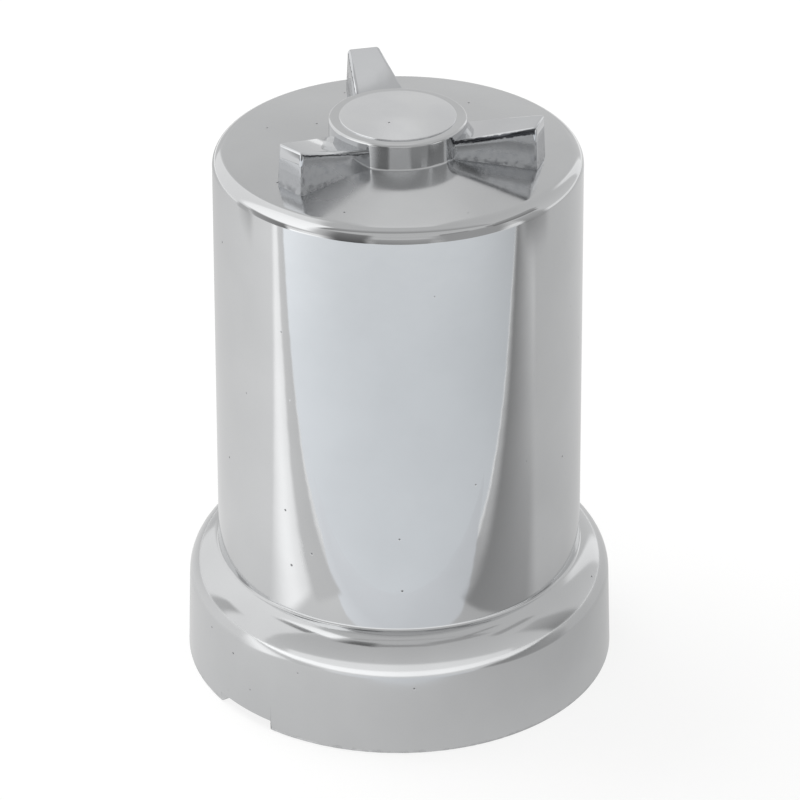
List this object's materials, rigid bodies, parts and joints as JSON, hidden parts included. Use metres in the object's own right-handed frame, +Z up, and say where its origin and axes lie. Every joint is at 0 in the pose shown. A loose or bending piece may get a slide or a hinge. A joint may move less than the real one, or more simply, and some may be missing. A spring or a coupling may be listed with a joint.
{
  "type": "wheel nut cover",
  "caption": "Chrome-plated push-on cover for a hexagonal truck wheel nut, a round tube on a wide flange with a pry notch and a spinner with flared ears on its crowned top.",
  "frame": {"origin": "centre of the rim's plane, where the flange stands on the wheel, on the axis of the nut", "axes": "+Z up the nut's axis, from the open rim to the spinner; -Y towards the pry notch and the ear above it"},
  "size_m": [0.0536, 0.0535, 0.0741],
  "materials": {
    "chrome_plating": "bright decorative chrome plating on moulded plastic"
  },
  "bodies": {
    "root": {"nut_cover": "chrome_plating"}
  },
  "joints": []
}
